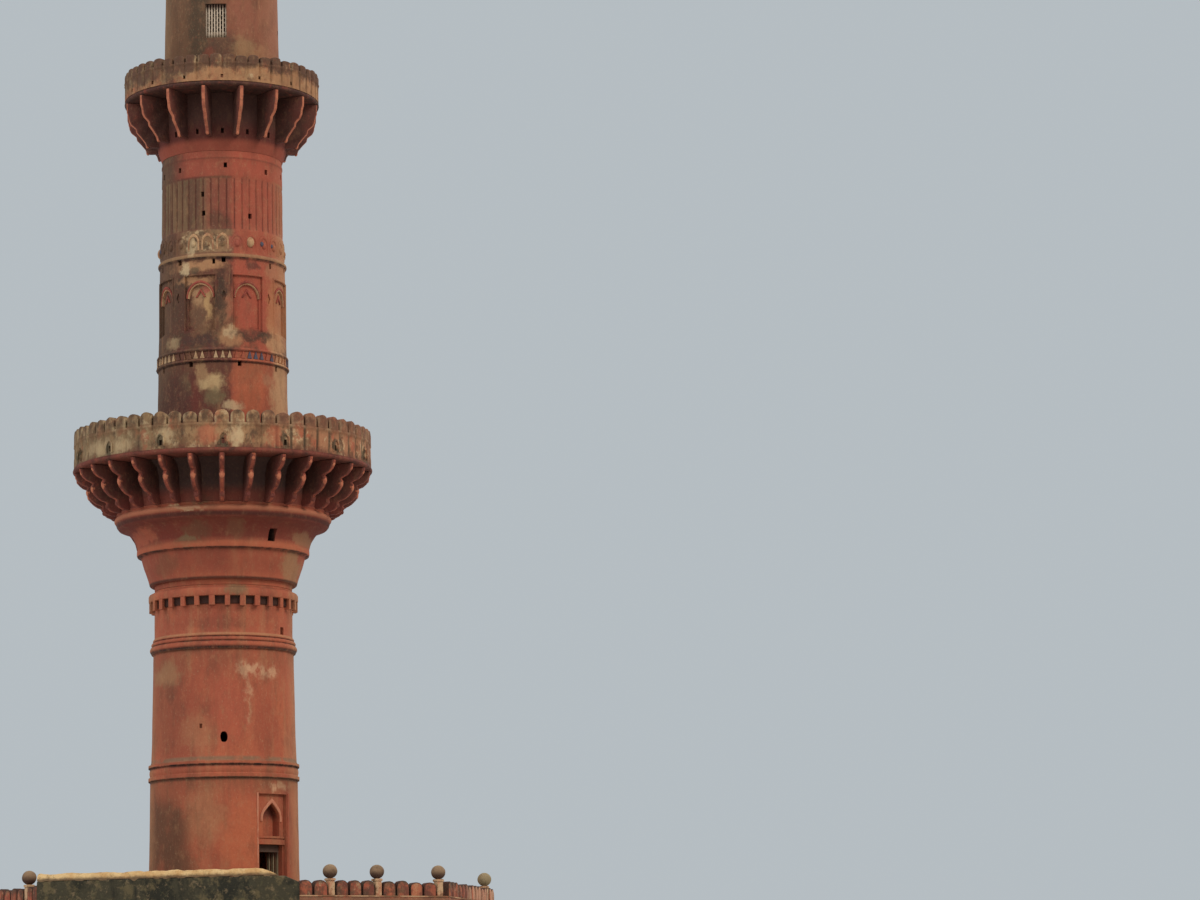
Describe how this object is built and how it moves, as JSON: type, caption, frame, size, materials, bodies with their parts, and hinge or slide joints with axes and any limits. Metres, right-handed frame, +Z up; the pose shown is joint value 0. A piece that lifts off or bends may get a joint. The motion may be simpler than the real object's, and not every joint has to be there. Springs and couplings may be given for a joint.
{
  "type": "minaret, 1:2 scale model",
  "caption": "Round tapering minaret with a flared bracketed balcony, further balconies, niches, a dome and an octagonal podium, at half size.",
  "frame": {"origin": "centre of the octagonal podium's foot at ground level, under the tower's axis", "axes": "+Z up along the tower; the entrance looks along -Y; +X is to the right of someone facing the entrance"},
  "size_m": [12.7786, 12.7786, 31.95],
  "materials": {
    "red_plaster": "brick red lime plaster, rain-streaked and chipped to buff",
    "patched_plaster": "red plaster worn to maroon, with cream patches where the coat has fallen",
    "weathered_plaster": "ochre and grey-brown weathered plaster over red",
    "dark_masonry": "dark lichened rubble with a pale lime capping",
    "paving_stone": "dusty stone flags",
    "cream_stucco": "cream stucco"
  },
  "bodies": {
    "root": {"podium": "dark_masonry", "podium_weathered_wall": "dark_masonry", "podium_weathered_wall_end": "dark_masonry", "terrace_paving": "paving_stone", "podium_parapet_front": "red_plaster", "podium_parapet_front_right": "red_plaster", "podium_parapet_right": "red_plaster", "podium_parapet_back_right": "red_plaster", "podium_parapet_back": "red_plaster", "podium_parapet_back_left": "red_plaster", "podium_parapet_left": "red_plaster", "storey1_wall_door_left": "red_plaster", "storey1_wall_door_right": "red_plaster", "storey1_wall_over_door": "red_plaster", "storey1_wall_right": "red_plaster", "storey1_wall_back": "red_plaster", "storey1_wall_left": "red_plaster", "capital_segment_1": "red_plaster", "capital_segment_2": "red_plaster", "capital_segment_3": "red_plaster", "balcony1_floor": "red_plaster", "balcony1_parapet_1": "weathered_plaster", "balcony1_parapet_2": "weathered_plaster", "balcony1_parapet_3": "weathered_plaster", "balcony1_parapet_4": "weathered_plaster", "storey2_wall_front": "patched_plaster", "storey2_wall_right": "patched_plaster", "storey2_wall_back": "patched_plaster", "storey2_wall_left": "patched_plaster", "balcony2_corbels_1": "red_plaster", "balcony2_corbels_2": "red_plaster", "balcony2_floor": "red_plaster", "balcony2_parapet_1": "weathered_plaster", "balcony2_parapet_2": "weathered_plaster", "storey3_wall_front": "patched_plaster", "storey3_wall_right": "patched_plaster", "storey3_wall_left": "patched_plaster", "window_screen_1": "cream_stucco", "window_screen_2": "cream_stucco", "balcony3_corbels_1": "red_plaster", "balcony3_corbels_2": "red_plaster", "balcony3_floor": "red_plaster", "balcony3_parapet_1": "weathered_plaster", "balcony3_parapet_2": "weathered_plaster", "top_storey": "patched_plaster", "dome": "weathered_plaster", "finial": "cream_stucco"}
  },
  "joints": []
}
